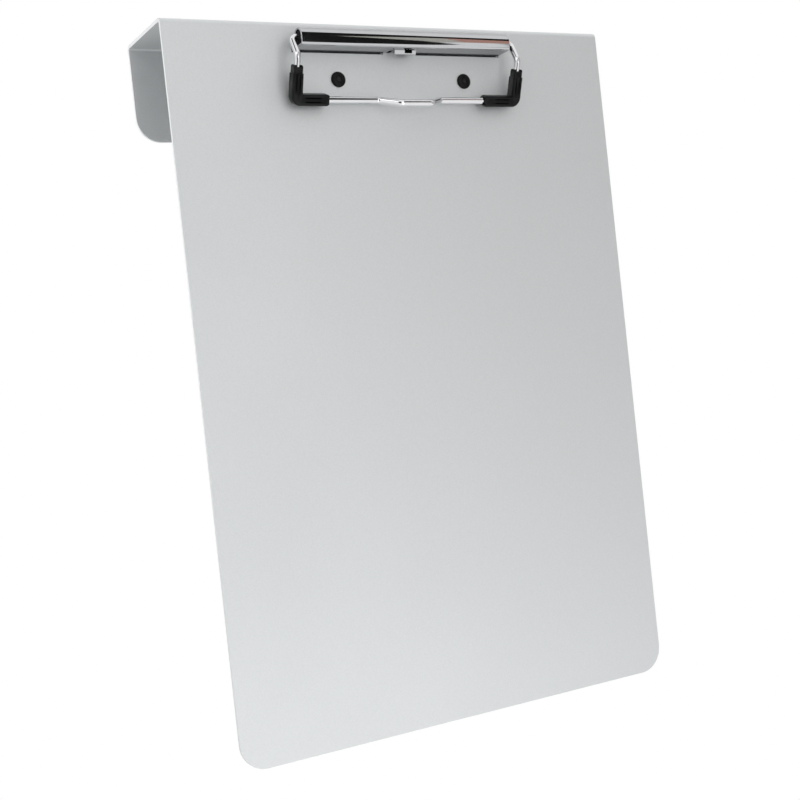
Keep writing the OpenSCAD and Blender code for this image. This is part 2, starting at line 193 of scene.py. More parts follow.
# %% Board: corners and wall
SHEET = 1.6
PANEL_CORNER_R, LIP_CORNER_R = 12, 11
pick("VERT", lambda p: p.z < low.z + NEAR)
bpy.ops.mesh.bevel(offset=PANEL_CORNER_R * MM, segments=16, affect="VERTICES")
pick("VERT", lambda p: p.y > high.y - NEAR and p.z < LIP_BOTTOM + NEAR)
bpy.ops.mesh.bevel(offset=LIP_CORNER_R * MM, segments=14, affect="VERTICES")
weld()
take(board)
front = max(board.data.polygons, key=lambda face: face.area)
thicken(board, SHEET, -1 if front.normal.y < 0 else 1)
print("board wall", SHEET, "mm, faces", len(board.data.polygons))

# %% [markdown]
# Two slots take the clip's tongues and two holes its rivets. They could be drawn into the flat plane, but
# here they are cut after the wall exists, as a punch does it, with helper blocks and pins in a Boolean
# modifier. A fine bevel then breaks every edge, which is what draws the light line along the sheet's rim.

# %% Punches and soft edges
OVER = 1  # mm, by which a punch stands out of what it cuts


def block(near, far):
    """A box between two corners in millimetres, as a helper shape."""
    take()
    near, far = Vector(near), Vector(far)
    bpy.ops.mesh.primitive_cube_add(size=1, location=mm(*((near + far) / 2)))
    return begin("helper", far - near)


def pin(centre, direction, radius, length, sides=32):
    """A round bar about a centre in millimetres, as a helper shape."""
    take()
    turn = Vector((0, 0, 1)).rotation_difference(Vector(direction)).to_euler()
    bpy.ops.mesh.primitive_cylinder_add(vertices=sides, radius=1, depth=1, location=mm(*centre),
                                        rotation=turn)
    return begin("helper", (radius, radius, length))


def cut(piece, cutter, how="DIFFERENCE"):
    """Takes a closed helper shape out of a piece, or unites it with it, and removes the helper."""
    saw = piece.modifiers.new("cut", "BOOLEAN")
    saw.operation = how
    saw.solver = "EXACT"
    saw.object = cutter
    finish_modifiers(piece)
    bpy.data.meshes.remove(cutter.data)


def soften(piece, width, segments=2, above=35):
    """Rounds the edges sharper than an angle, keeps the flats flat in shading and smooths the rest."""
    take(piece)
    bpy.ops.object.shade_smooth()
    edge = piece.modifiers.new("edge", "BEVEL")
    edge.width = width * MM
    edge.segments = segments
    edge.limit_method = "ANGLE"
    edge.angle_limit = radians(above)
    flats = piece.modifiers.new("flats", "WEIGHTED_NORMAL")
    flats.keep_sharp = True
    finish_modifiers(piece)


print("punches stand out", OVER, "mm")

# %% Board: slots, holes and broken edges
RIVET_X, RIVET_Z = 33.3, -24.1
HOLE_R, PUNCH_L = 2.1, 6
SLOT_X0, SLOT_X1 = 8.6, 54.8
SLOT_Z0, SLOT_Z1 = -12.15, -10.5
SHEET_EDGE = 0.25
for side in (-1, 1):
    x0, x1 = sorted((side * SLOT_X0, side * SLOT_X1))
    cut(board, block((x0, low.y - OVER, SLOT_Z0), (x1, low.y + SHEET + OVER, SLOT_Z1)))
    cut(board, pin((side * RIVET_X, low.y + SHEET / 2, RIVET_Z), (0, 1, 0), HOLE_R, PUNCH_L))
soften(board, SHEET_EDGE, 3)
print("board faces", len(board.data.polygons))

# %% [markdown]
# ## Clip body
# A chromed steel strip: its front edge is rolled into a barrel, its back edge passes through the slots
# and is bent down behind the board as two ears. A tube and some plates would give the outline, but not
# the one smooth surface that chrome needs. So one plane becomes all of it: the front edge goes through
# three spins, a tight one, a wide one and the roll itself, and two stretches of the back edge are pushed
# through the slots and bent. The roll is round behind and nearly flat in front, so it mirrors one broad
# dark band there.

# %% Clip body: the roll
BARREL_X, BARREL_Y, BARREL_Z, BARREL_R = 54.5, -30.25, -7.45, 4.1
TAIL_Y, TAIL_Z = -23.55, BARREL_Z - BARREL_R
TONGUE_X = 8.9
ROLL_Y = -32.746
ROLL = [(1.5, 82, 10), (15, 12, 6), (BARREL_R, 221, 52)]  # radius in mm, turn in degrees, steps
strip_middle = mm(0, (ROLL_Y + TAIL_Y) / 2, TAIL_Z)

take()
bpy.ops.mesh.primitive_plane_add(size=1, location=strip_middle)
clip = begin("rolled_clip_body", (2 * BARREL_X, TAIL_Y - ROLL_Y, 1))
bpy.ops.object.mode_set(mode="EDIT")
for x in (-TONGUE_X, TONGUE_X):
    bpy.ops.mesh.select_all(action="SELECT")
    bpy.ops.mesh.bisect(plane_co=mm(x, 0, 0), plane_no=(1, 0, 0))
pick("EDGE", lambda p: p.y < ROLL_Y + NEAR)
edge, facing = Vector((0, ROLL_Y, TAIL_Z)), -pi / 2
for radius, turn, steps in ROLL:
    centre = edge + Vector((0, cos(facing), -sin(facing))) * radius
    bend(centre, (1, 0, 0), -radians(turn), steps)
    facing += radians(turn)
    edge = centre - Vector((0, cos(facing), -sin(facing))) * radius
print("the roll ends at y", round(edge.y, 2), "z", round(edge.z, 2), "mm")

# %% Clip body: tongues, ears and wall
STRIP, STRIP_EDGE = 0.9, 0.38
EAR_BEND_Y, EAR_BEND_R = -22.15, 0.5
EAR_BOTTOM, EAR_CORNER_R = -32.6, 3
pick("EDGE", lambda p: p.y > TAIL_Y - NEAR and abs(p.x) > TONGUE_X and p.z < TAIL_Z + NEAR)
push(0, EAR_BEND_Y - TAIL_Y, 0)
bend((0, EAR_BEND_Y, TAIL_Z - EAR_BEND_R), (1, 0, 0), -pi / 2, 6)
push(0, 0, EAR_BOTTOM - TAIL_Z + EAR_BEND_R)
pick("VERT", lambda p: p.z < EAR_BOTTOM + NEAR)
bpy.ops.mesh.bevel(offset=EAR_CORNER_R * MM, segments=8, affect="VERTICES")
weld()
take(clip)
tail = min(clip.data.polygons, key=lambda face: (face.center - strip_middle).length)
thicken(clip, STRIP, 1 if tail.normal.z > 0 else -1)
soften(clip, STRIP_EDGE, 4)
print("strip", STRIP, "mm, barrel", 2 * BARREL_R, "mm, faces", len(clip.data.polygons))

# %% [markdown]
# Under the barrel the strip has two windows in which the springs' legs stand, and a small lug is pressed
# down around the larger one. The lug is a short block whose foot leans back; the window cuts through strip
# and lug but leaves the lug's lower rim, and a stop close behind it fills the opening. The stop is a dark
# block that stands for the shade in the opening: the strip's material paints it near-black as painted
# shade.

# %% Clip body: lug, windows and stop
LUG_X0, LUG_X1, LUG_Y = -5.5, 5.7, -28.9
LUG_DOWN, LUG_ROOT, LUG_LEAN, LUG_RIM, LUG_EDGE = 1.7, 0.2, 0.6, 0.5, 0.2
lug_bottom = TAIL_Z - LUG_DOWN
lug = block((LUG_X0, LUG_Y, lug_bottom), (LUG_X1, LUG_Y + STRIP, TAIL_Z + LUG_ROOT))
bpy.ops.object.mode_set(mode="EDIT")
pick("FACE", lambda p: p.z < lug_bottom + NEAR)
bpy.ops.transform.translate(value=mm(0, LUG_LEAN, 0))
bpy.ops.mesh.bevel(offset=LUG_EDGE * MM, segments=3)
cut(clip, lug, how="UNION")
WINDOWS = [((-7.4, -28.6), (-5.8, -24.05)), ((-0.2, -31.15), (3.7, -24.05))]  # x and y of two corners
for (x0, y0), (x1, y1) in WINDOWS:
    cut(clip, block((x0, y0, lug_bottom + LUG_RIM), (x1, y1, BARREL_Z)))
# Painted shade: the stop is a dark block put where the window's opening is only in shade.
STOP_X0, STOP_X1 = -0.6, 4.2
STOP_Y, STOP_T = LUG_Y + 1.3, 1
STOP_DOWN, STOP_UP = 1.3, 0.7
stop = block((STOP_X0, STOP_Y, TAIL_Z - STOP_DOWN), (STOP_X1, STOP_Y + STOP_T, TAIL_Z + STOP_UP))
cut(clip, stop, how="UNION")
print("clip faces", len(clip.data.polygons))

# %% Clip body: rivet holes and broken edges
PUNCHED_EDGE = 0.12
ear_y = EAR_BEND_Y + EAR_BEND_R + STRIP / 2
for side in (-1, 1):
    cut(clip, pin((side * RIVET_X, ear_y, RIVET_Z), (0, 1, 0), HOLE_R, PUNCH_L))
soften(clip, PUNCHED_EDGE)
print("clip faces", len(clip.data.polygons))

# %% [markdown]
# ## Bail wire
# One round wire, 3 mm thick: two arms that turn in the barrel, two legs, a front bar and a finger lift in
# its middle. A curve with a round profile could be it, but its bends would only be near their radius.
# Here a disc is pushed along each straight and spun round each bend, the way a wire former feeds and
# bends. The corner points are the drawing's; each bend takes its share off the straights on both sides.

# %% Bail wire: corner points
LEAN = radians(22.5)
LEG_X, KNEE_Z = 57.6, -16.6
BAR_Y, BAR_Z = -27.547, -34.3
LIFT_FOOT_X, LIFT_TOP_X, LIFT_L = 16, 8, 7.1
SHOULDER_R, LEG_R, LIFT_R = 2.8, 4, 3
RIGHT_ARM_X, LEFT_ARM_X = 3.95, -8.45  # where the arms end in the barrel
shoulder = Vector((LEG_X, BARREL_Y, BARREL_Z))
knee = Vector((LEG_X, BAR_Y - (KNEE_Z - BAR_Z) * tan(LEAN), KNEE_Z))
bar_corner = Vector((LEG_X, BAR_Y, BAR_Z))
lift_foot = Vector((LIFT_FOOT_X, BAR_Y, BAR_Z))
lift_top = Vector((LIFT_TOP_X, BAR_Y, BAR_Z)) + Vector((0, -cos(LEAN), -sin(LEAN))) * LIFT_L
half = [(shoulder, SHOULDER_R), (knee, LEG_R), (bar_corner, LEG_R), (lift_foot, LIFT_R), (lift_top, LIFT_R)]
other_half = [(Vector((-point.x, point.y, point.z)), radius) for point, radius in reversed(half)]
corners = half + other_half
first, last = [Vector((x, BARREL_Y, BARREL_Z)) for x in (RIGHT_ARM_X, LEFT_ARM_X)]
path = [first] + [point for point, _ in corners] + [last]
print("wire corners", len(corners), "knee", [round(c, 2) for c in knee])

# %% Bail wire: feed and bend
WIRE_D, WIRE_END_R = 3, 0.3
BEND_STEP = 6  # degrees
take()
bpy.ops.mesh.primitive_circle_add(vertices=32, radius=1, fill_type="NGON", location=mm(*first),
                                  rotation=(0, pi / 2, 0))
wire = begin("bail_wire_form", (WIRE_D / 2, WIRE_D / 2, 1))
bpy.ops.object.mode_set(mode="EDIT")
bpy.ops.mesh.select_all(action="SELECT")
here = first
for (corner, radius), after in zip(corners, path[2:]):
    into, out = (corner - here).normalized(), (after - corner).normalized()
    angle = into.angle(out)
    trim = radius * tan(angle / 2)
    push(*(corner - into * trim - here))
    axis = into.cross(out).normalized()
    centre = corner - into * trim + axis.cross(into) * radius
    bend(centre, axis, angle, ceil(degrees(angle) / BEND_STEP))
    here = corner + out * trim
push(*(last - here))
face_out()
soften(wire, WIRE_END_R)
print("wire faces", len(wire.data.polygons))

# %% [markdown]
# ## Corner sleeves
# Black moulded elbows on the bail's lower corners. A bent tube would be too round for them, so a block
# gets a leg pulled up from one end, a big round outer corner, rounded long edges and a stepped collar,
# then notches and shallow grooves are cut into it. It is drawn upright about the corner of the wire,
# turned to the bail's lean, and copied in mirror image for the other side, where the foot is a little
# shorter.

# %% Sleeve: elbow
SLEEVE_W, FOOT_L, LEG_L, COLLAR_L = 5.2, 17.9, 15.0, 3.6
ELBOW_R, FOOT_END_R, LONG_EDGE_R = 4.4, 1.9, 0.95
half_w = SLEEVE_W / 2
leg_top = LEG_L - COLLAR_L
sleeve = block((-FOOT_L, -half_w, -half_w), (half_w, half_w, half_w))
sleeve.name = "right_sleeve_form"
bpy.ops.object.mode_set(mode="EDIT")
bpy.ops.mesh.select_all(action="SELECT")
bpy.ops.mesh.bisect(plane_co=mm(-half_w, 0, 0), plane_no=(1, 0, 0))
pick("FACE", lambda p: p.z > half_w - NEAR and p.x > -half_w)
push(0, 0, leg_top - half_w)
bpy.ops.mesh.select_all(action="SELECT")
bpy.ops.mesh.dissolve_limited(angle_limit=radians(1))
pick("EDGE", lambda p: p.x > half_w - NEAR and p.z < NEAR - half_w and abs(p.y) < NEAR)
bpy.ops.mesh.bevel(offset=ELBOW_R * MM, segments=12)
pick("EDGE", lambda p: p.x < NEAR - FOOT_L and abs(p.y) < NEAR)
bpy.ops.mesh.bevel(offset=FOOT_END_R * MM, segments=6)
pick("EDGE", lambda p: abs(p.y) > half_w - NEAR and p.z < leg_top - NEAR)
bpy.ops.mesh.bevel(offset=LONG_EDGE_R * MM, segments=4)
print("elbow faces", len(bmesh.from_edit_mesh(sleeve.data).faces))

# %% Sleeve: collar
COLLAR_STEP = 0.4
COLLAR_DOME = [(0.45, 0.97), (0.3, 0.94), (0.15, 0.92)]  # rise in mm, shrink
pick("FACE", lambda p: p.z > leg_top - NEAR)
bpy.ops.mesh.inset(thickness=COLLAR_STEP * MM)
push(0, 0, COLLAR_L - sum(rise for rise, _ in COLLAR_DOME))
for rise, shrink in COLLAR_DOME:
    push(0, 0, rise)
    bpy.ops.transform.resize(value=(shrink, shrink, 1))
take(sleeve)
print("sleeve faces with collar", len(sleeve.data.polygons))

# %% Sleeve: notches and grooves
NOTCH_R, NOTCH_L = 1.6, 0.8
GROOVE_START, GROOVE_END, GROOVE_OFF = 4, 11.5, 0.9
GROOVE_W, GROOVE_DEEP = 0.5, 0.3
MOULDED_EDGE = 0.14
clear = -half_w - OVER
groove_floor = -half_w + GROOVE_DEEP
cut(sleeve, block((-NOTCH_R, clear, LEG_L - NOTCH_L), (NOTCH_R, 0, LEG_L + OVER)))
cut(sleeve, pin((0, 0, LEG_L), (0, 0, 1), NOTCH_R, 2 * NOTCH_L))
cut(sleeve, block((-FOOT_L - OVER, clear, -NOTCH_R), (-FOOT_L + NOTCH_L, 0, NOTCH_R)))
cut(sleeve, pin((-FOOT_L, 0, 0), (1, 0, 0), NOTCH_R, 2 * NOTCH_L))
for offset in (-GROOVE_OFF, GROOVE_OFF):
    one, two = offset - GROOVE_W / 2, offset + GROOVE_W / 2
    cut(sleeve, block((one, clear, GROOVE_START), (two, groove_floor, GROOVE_END)))
    cut(sleeve, block((-GROOVE_END, clear, one), (-GROOVE_START, groove_floor, two)))
soften(sleeve, MOULDED_EDGE, above=40)
print("sleeve faces", len(sleeve.data.polygons))

# %% Sleeves: lean and mirror
LEFT_SHORTER, FOOT_TIP = 1.6, 3.5
sleeve.rotation_euler = (LEAN, 0, 0)
sleeve.location = mm(*bar_corner)
take(sleeve)
bpy.ops.object.transform_apply(location=True, rotation=True, scale=True)
bpy.ops.object.duplicate(linked=False)
left_sleeve = bpy.context.object
left_sleeve.name = left_sleeve.data.name = "left_sleeve_form"
left_sleeve.scale.x = -1
bpy.ops.object.transform_apply(location=True, rotation=True, scale=True)
bpy.ops.object.mode_set(mode="EDIT")
face_out()
pick("VERT", lambda p: p.x > FOOT_L - FOOT_TIP - bar_corner.x)
bpy.ops.transform.translate(value=mm(-LEFT_SHORTER, 0, 0))
take()
print("sleeves at x", [round(corner.x, 1) for corner in (bar_corner, -bar_corner)])

# %% [markdown]
# ## Rivets
# Blind rivets: a low domed head in front with the mouth of its bore, a shank through board and ear, and
# the swollen tail behind. A sphere could give the dome, but its pole would lie where the bore is. So a
# disc gets its dome by insets that each rise a little less, then the bore is sunk in.

# %% Rivet: domed head
HEAD_R, RIM_H = 3.55, 0.5
DOME_H, DOME_ARC, DOME_STEPS = 1.0, radians(72), 6
rivet = pin((RIVET_X, low.y - RIM_H / 2, RIVET_Z), (0, 1, 0), HEAD_R, RIM_H, sides=48)
rivet.name = "right_rivet_form"
bpy.ops.object.mode_set(mode="EDIT")
front_y = low.y - RIM_H
pick("FACE", lambda p: p.y < front_y + NEAR)
before = HEAD_R
for step in range(DOME_STEPS):
    lower, upper = [count / DOME_STEPS * DOME_ARC for count in (step, step + 1)]
    ring = HEAD_R * cos(upper)
    bpy.ops.mesh.inset(thickness=(before - ring) * MM)
    bpy.ops.transform.translate(value=mm(0, -DOME_H * (sin(upper) - sin(lower)), 0))
    before = ring
print("dome ends at radius", round(before, 2))

# %% Rivet: bore, shank and tail
BORE_DEEP, SHANK_R = 1.2, 2
BULB_R, BULB_Y0, BULB_Y1, BULB_EDGE_R = 2.9, -20.75, -19.05, 0.7
RIVET_EDGE = 0.12
push(0, BORE_DEEP, 0)
pick("FACE", lambda p: abs(p.y - low.y) < NEAR)
bpy.ops.mesh.inset(thickness=(HEAD_R - SHANK_R) * MM)
push(0, BULB_Y0 - low.y, 0)
push(0, 0, 0)
swell = BULB_R / SHANK_R
bpy.ops.transform.resize(value=(swell, 1, swell), center_override=mm(RIVET_X, BULB_Y0, RIVET_Z))
push(0, BULB_Y1 - BULB_Y0, 0)
bpy.ops.mesh.bevel(offset=BULB_EDGE_R * MM, segments=4)
face_out()
soften(rivet, RIVET_EDGE)
bpy.ops.object.duplicate(linked=False)
left_rivet = bpy.context.object
left_rivet.name = left_rivet.data.name = "left_rivet_form"
left_rivet.location = mm(-2 * RIVET_X, 0, 0)
bpy.ops.object.transform_apply(location=True, rotation=True, scale=True)
print("rivet faces", len(rivet.data.polygons))

# %% [markdown]
# ## Torsion springs
# Ten turns of wire inside the barrel on each side. Spins could wind them one by one; the Screw modifier
# winds a small ring about the hinge axis in one go. One open end is then pushed down as the leg in the
# window, the other across the axis as the tang in the bail wire. When the bail opens, the leg stays with
# the board and the tang turns.

# %% Spring: wind the coil
SPRING_D, COIL_R, TURNS, PITCH = 0.9, 2.35, 10, 1.4
SHORT = radians(20)  # by which the last turn stops short
take()
bpy.ops.mesh.primitive_circle_add(vertices=12, radius=1, location=mm(0, COIL_R, 0))
spring = begin("right_spring_form", (SPRING_D / 2, SPRING_D / 2, 1))
coil = spring.modifiers.new("coil", "SCREW")
coil.axis = "X"
coil.angle = 2 * pi - SHORT / TURNS
coil.screw_offset = PITCH * MM
coil.iterations = TURNS
coil.steps = coil.render_steps = 28
finish_modifiers(spring)
print("coil faces", len(spring.data.polygons))

# %% Spring: leg and tang
SPRING_LEG, TANG_R, TANG_PAST = 3.65, 0.8, 0.6
ring_r = SPRING_D / 2 + NEAR
bpy.ops.object.mode_set(mode="EDIT")
pick("EDGE", lambda p: abs(p.z) < NEAR and abs(p.y - COIL_R) < ring_r and p.x < ring_r)
push(0, 0, -SPRING_LEG)
bpy.ops.mesh.edge_face_add()
bpy.ops.mesh.select_all(action="DESELECT")
bpy.ops.mesh.select_non_manifold()
tang = Vector((TURNS * PITCH, (COIL_R - TANG_R) * cos(SHORT), -(COIL_R - TANG_R) * sin(SHORT)))
bend(tang, (1, 0, 0), pi / 2 + SHORT, 8)
push(0, -tang.y - TANG_PAST, 0)
bpy.ops.mesh.edge_face_add()
face_out()
take(spring)
bpy.ops.object.shade_smooth_by_angle(angle=radians(50))
print("spring faces", len(spring.data.polygons))

# %% Springs: into the barrel, and the mirrored copy
RIGHT_LEG_X, LEFT_LEG_X = 2.35, -6.85
bpy.ops.object.duplicate(linked=False)
left_spring = bpy.context.object
left_spring.name = left_spring.data.name = "left_spring_form"
left_spring.scale.x = -1
left_spring.location = mm(LEFT_LEG_X, BARREL_Y, BARREL_Z)
spring.location = mm(RIGHT_LEG_X, BARREL_Y, BARREL_Z)
take(spring, left_spring)
bpy.ops.object.transform_apply(location=True, rotation=True, scale=True)
take(left_spring)
bpy.ops.object.mode_set(mode="EDIT")
face_out()
take()
print("spring legs at x", RIGHT_LEG_X, LEFT_LEG_X)

# %% [markdown]
# ## Materials
# Every finish is built from nodes on Object coordinates, so a pattern has a real size and stays on its
# piece. Colours are written as sRGB hex, as a colour picker shows them, and one function turns them to
# linear light. One more function adds a node with its settings, and links an input where it is given
# another node's socket. All metals and blacks here vary in tone, roughness and relief, so a last one
# works those three into a finish.

# %% Colour, nodes and finishes
def colour(code):
    """An sRGB hex colour as linear RGBA."""
    parts = [int(code[i:i + 2], 16) / 255 for i in (1, 3, 5)]
    return (*[c / 12.92 if c <= 0.04045 else ((c + 0.055) / 1.055) ** 2.4 for c in parts], 1)


def add(tree, kind, inputs=None, **settings):
    """Adds a node; inputs hold plain values or the output sockets to link."""
    node = tree.nodes.new(kind)
    for name, value in settings.items():
        setattr(node, name, value)
    for name, value in (inputs or {}).items():
        if isinstance(value, bpy.types.NodeSocket):
            tree.links.new(value, node.inputs[name])
        else:
            node.inputs[name].default_value = value
    return node


def plain_finish(name, **sockets):
    """A material of this name, with plain values set on its shader; returns material, tree and shader."""
    made = bpy.data.materials.new(name)
    made.use_nodes = True
    shader = made.node_tree.nodes["Principled BSDF"]
    for socket, value in sockets.items():
        shader.inputs[socket.replace("_", " ")].default_value = value
    return made, made.node_tree, shader


def work_in(tree, shader, tones, spots, roughness, patches, relief, strength, depth):
    """Tone follows the spots, roughness the patches, and a relief gets its depth in millimetres."""
    smooth, dull = roughness
    tone = add(tree, "ShaderNodeMix", {"Factor": spots, 6: colour(tones[0]), 7: colour(tones[1])},
               data_type="RGBA")
    rough = add(tree, "ShaderNodeMapRange", {"Value": patches, "To Min": smooth, "To Max": dull})
    bump = add(tree, "ShaderNodeBump", {"Height": relief, "Strength": strength, "Distance": depth * MM})
    tree.links.new(tone.outputs[2], shader.inputs["Base Color"])
    tree.links.new(rough.outputs["Result"], shader.inputs["Roughness"])
    tree.links.new(bump.outputs["Normal"], shader.inputs["Normal"])


print("white is", colour("#ffffff")[:3])

# %% [markdown]
# Satin anodised aluminium: etched and anodised sheet is a metal whose fine pits scatter its reflections
# into a soft, almost paper-like sheen. The eye gets a neutral silver with a barely visible grain. Real
# etch pits are a few hundredths of a millimetre; here they are drawn at 0.5 mm so that they show at this
# distance. The etch is never quite even, so the roughness drifts slowly over the sheet.

# %% Satin anodised aluminium
ETCH, ETCH_DEPTH, DRIFT = 0.5, 0.02, 60  # mm
aluminium, tree, shader = plain_finish("satin_anodised_aluminium", Metallic=0.85)
place = add(tree, "ShaderNodeTexCoord").outputs["Object"]
grain = add(tree, "ShaderNodeTexNoise", {"Vector": place, "Scale": 1 / (ETCH * MM), "Detail": 2.0})
drift = add(tree, "ShaderNodeTexNoise", {"Vector": place, "Scale": 1 / (DRIFT * MM), "Detail": 2.0})
pits, patches = grain.outputs["Fac"], drift.outputs["Fac"]
work_in(tree, shader, ("#d5d7d8", "#e1e3e4"), pits, (0.52, 0.6), patches, pits,
        strength=0.06, depth=ETCH_DEPTH)
print(aluminium.name, len(tree.nodes), "nodes")

# %% [markdown]
# Bright chrome: plated strip and wire mirror the room with hard light and dark lines. Polishing leaves a
# faint waviness a few millimetres long, and handling leaves a thin film that dulls it in patches. The wire
# is paler and a little duller than the strip.

# %% Bright chrome on strip and on wire
FILM, WAVE_DEPTH = 9, 0.05  # mm


def chrome(name, tones, roughness, wave):
    """Mirror plating with a patchy handling film and a waviness of this length in millimetres."""
    made, tree, shader = plain_finish(name, Metallic=1.0)
    place = add(tree, "ShaderNodeTexCoord").outputs["Object"]
    film = add(tree, "ShaderNodeTexNoise", {"Vector": place, "Scale": 1 / (FILM * MM), "Detail": 4.0})
    waves = add(tree, "ShaderNodeTexNoise", {"Vector": place, "Scale": 1 / (wave * MM), "Detail": 1.0})
    spots = film.outputs["Fac"]
    work_in(tree, shader, tones, spots, roughness, spots, waves.outputs["Fac"],
            strength=0.02, depth=WAVE_DEPTH)
    return made


strip_chrome = chrome("bright_chrome_strip", ("#bcbdbf", "#c9cacc"), (0.03, 0.06), wave=6)
wire_chrome = chrome("bright_chrome_wire", ("#dcdcde", "#e9e9eb"), (0.07, 0.12), wave=4)
print(strip_chrome.name, wire_chrome.name)

# %% [markdown]
# Inside the roll the strip is painted dark, as painted shade in the hollow where little light reaches, and
# so is the stop behind the window, as painted shade in the opening. A radius about the barrel's axis and a
# depth behind the lug tell the painted shade from bright chrome, so one material serves the whole strip.
# Chrome also mirrors less at a slant than the plain metal model, hence the edge tint.

# %% Painted shade inside the roll and on the stop
PAINTED_SHADE_R = 3.25
tree = strip_chrome.node_tree
shader = tree.nodes["Principled BSDF"]
shader.inputs["Specular Tint"].default_value = colour("#cbcbcb")
plated = shader.inputs["Base Color"].links[0].from_socket
place = add(tree, "ShaderNodeTexCoord").outputs["Object"]
across = add(tree, "ShaderNodeMapping", {"Vector": place, "Scale": (0, 1, 1),
                                         "Location": -mm(0, BARREL_Y, BARREL_Z)})
radius = add(tree, "ShaderNodeVectorMath", {0: across.outputs[0]}, operation="LENGTH")
inside = add(tree, "ShaderNodeMath", {0: radius.outputs["Value"], 1: PAINTED_SHADE_R * MM}, operation="LESS_THAN")
axes = add(tree, "ShaderNodeSeparateXYZ", {0: place})
limits = [("X", STOP_X0 - NEAR, "GREATER_THAN"), ("X", STOP_X1 + NEAR, "LESS_THAN"),
          ("Y", STOP_Y - NEAR / 2, "GREATER_THAN"), ("Z", TAIL_Z + STRIP / 2, "LESS_THAN")]
tests = [add(tree, "ShaderNodeMath", {0: axes.outputs[axis], 1: limit * MM}, operation=way).outputs[0]
         for axis, limit, way in limits]
stop_shade = tests[0]
for test in tests[1:]:
    stop_shade = add(tree, "ShaderNodeMath", {0: stop_shade, 1: test}, operation="MULTIPLY").outputs[0]
dark = add(tree, "ShaderNodeMath", {0: inside.outputs[0], 1: stop_shade}, operation="MAXIMUM")
# Painted shade: near-black #1c1c1d where either mask holds, for the shade in the roll and behind the
# window.
tone = add(tree, "ShaderNodeMix", {"Factor": dark.outputs[0], 6: plated, 7: colour("#1c1c1d")},
           data_type="RGBA")
tree.links.new(tone.outputs[2], shader.inputs["Base Color"])
print("dark inside", PAINTED_SHADE_R, "mm")

# %% [markdown]
# Black mouldings and coatings: soft vinyl on the sleeves has a fine cast grain and a satin sheen, nylon
# bushes are drier, and the rivets' black coat has a slight pebble and a weaker sheen. Each is nearly black,
# so most of what the eye sees is sheen, and the roughness pattern matters more than the colour.

# %% Black vinyl, nylon and coating
DUST, CAST_DEPTH = 5, 0.05  # mm


def black(name, tones, roughness, grit, sheen):
    """A black finish that dust dulls in patches, with a cast grain of this size in millimetres."""
    made, tree, shader = plain_finish(name, Metallic=0.0, IOR=1.5, Specular_IOR_Level=sheen)
    place = add(tree, "ShaderNodeTexCoord").outputs["Object"]
    cast = add(tree, "ShaderNodeTexNoise", {"Vector": place, "Scale": 1 / (grit * MM), "Detail": 3.0})
    dust = add(tree, "ShaderNodeTexNoise", {"Vector": place, "Scale": 1 / (DUST * MM), "Detail": 3.0})
    spots = dust.outputs["Fac"]
    work_in(tree, shader, tones, spots, roughness, spots, cast.outputs["Fac"],
            strength=0.15, depth=CAST_DEPTH)
    return made


vinyl = black("cast_black_vinyl", ("#060607", "#101011"), (0.3, 0.42), grit=0.4, sheen=0.2)
nylon = black("moulded_black_nylon", ("#0c0c0d", "#141415"), (0.6, 0.75), grit=0.3, sheen=0.15)
coating = black("black_coated_rivet", ("#070708", "#0f0f10"), (0.3, 0.42), grit=0.35, sheen=0.15)
print(vinyl.name, nylon.name, coating.name)

# %% [markdown]
# Steel that nobody polished: drawn spring wire, and rivet pins that show the torn grain of the break. Both
# are painted far darker than bare steel, as painted shade: the springs sit inside the barrel and show only
# through its windows, the pins sit in the rivets' bores. Both are rough metals, and one fine noise gives
# the eye their uneven tone, gloss and relief.

# %% Drawn spring steel and broken pin steel
GRAIN_DEPTH = 0.05  # mm


def bare_steel(name, tones, roughness, grit):
    """Unpolished steel with a grain of this size in millimetres."""
    made, tree, shader = plain_finish(name, Metallic=1.0)
    place = add(tree, "ShaderNodeTexCoord").outputs["Object"]
    grain = add(tree, "ShaderNodeTexNoise", {"Vector": place, "Scale": 1 / (grit * MM), "Detail": 3.0})
    spots = grain.outputs["Fac"]
    work_in(tree, shader, tones, spots, roughness, spots, spots, strength=0.2, depth=GRAIN_DEPTH)
    return made


# Painted shade: both tones are dark, for the shade inside the barrel and in the rivets' bores.
spring_steel = bare_steel("drawn_spring_steel", ("#3c3d40", "#55565a"), (0.22, 0.4), grit=0.3)
pin_steel = bare_steel("broken_pin_steel", ("#2a2a2b", "#424244"), (0.4, 0.6), grit=0.4)
print(spring_steel.name, pin_steel.name)

# %% [markdown]
# ## Fitting the pieces to the part
# Each new piece takes a finish and rides on the body it belongs to, and the CAD node it stands for is
# hidden. The springs ride on no body and have their place baked into their meshes, because one end
# belongs to the board and the other to the bail.

# %% Finishes, bodies and nodes
fittings = [
    (board, aluminium, "hanging_board", "satin_aluminium", "board"),
    (clip, strip_chrome, "hanging_board", "chromed_strip", "clip_body"),
    (wire, wire_chrome, "bail", "chromed_wire", "bail_wire"),
    (sleeve, vinyl, "bail", "black_vinyl", "right_corner_sleeve"),
    (left_sleeve, vinyl, "bail", "black_vinyl", "left_corner_sleeve"),
    (rivet, coating, "hanging_board", "black_rivet", "right_rivet"),
    (left_rivet, coating, "hanging_board", "black_rivet", "left_rivet"),
    (spring, spring_steel, None, "spring_steel", "right_torsion_spring"),
    (left_spring, spring_steel, None, "spring_steel", "left_torsion_spring"),
]
for piece, material, body, slot, node in fittings:
    piece.data.materials.clear()
    piece.data.materials.append(material)
    if body:
        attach(piece, body)
    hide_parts(node)
for piece, leg_x, way in ((spring, RIGHT_LEG_X, 1), (left_spring, LEFT_LEG_X, -1)):
    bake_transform(piece)
